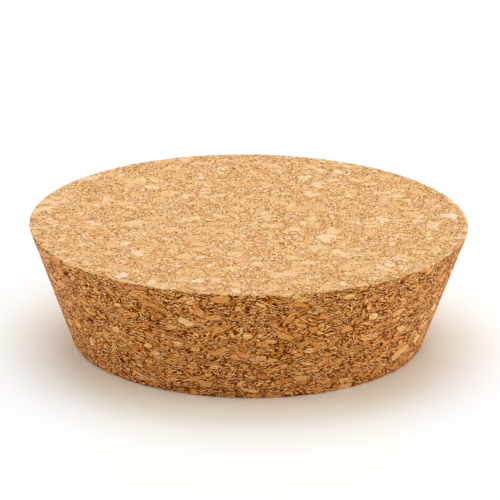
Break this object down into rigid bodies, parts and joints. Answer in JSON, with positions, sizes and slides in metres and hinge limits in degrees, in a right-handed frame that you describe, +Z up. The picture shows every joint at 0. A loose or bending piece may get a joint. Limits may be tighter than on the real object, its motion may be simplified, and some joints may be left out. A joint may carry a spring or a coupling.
{
  "type": "cork stopper",
  "caption": "Wide tapered stopper of agglomerated cork that plugs the mouth of a jar and stands on its narrow face.",
  "frame": {"origin": "centre of the narrow base, on the surface that the stopper stands on", "axes": "+Z up along the axis of the taper, out of the jar and through the wide top face"},
  "size_m": [0.0898, 0.0898, 0.025],
  "materials": {
    "cork": "matte, ground agglomerated cork with open granules"
  },
  "bodies": {
    "root": {"stopper": "cork"}
  },
  "joints": []
}
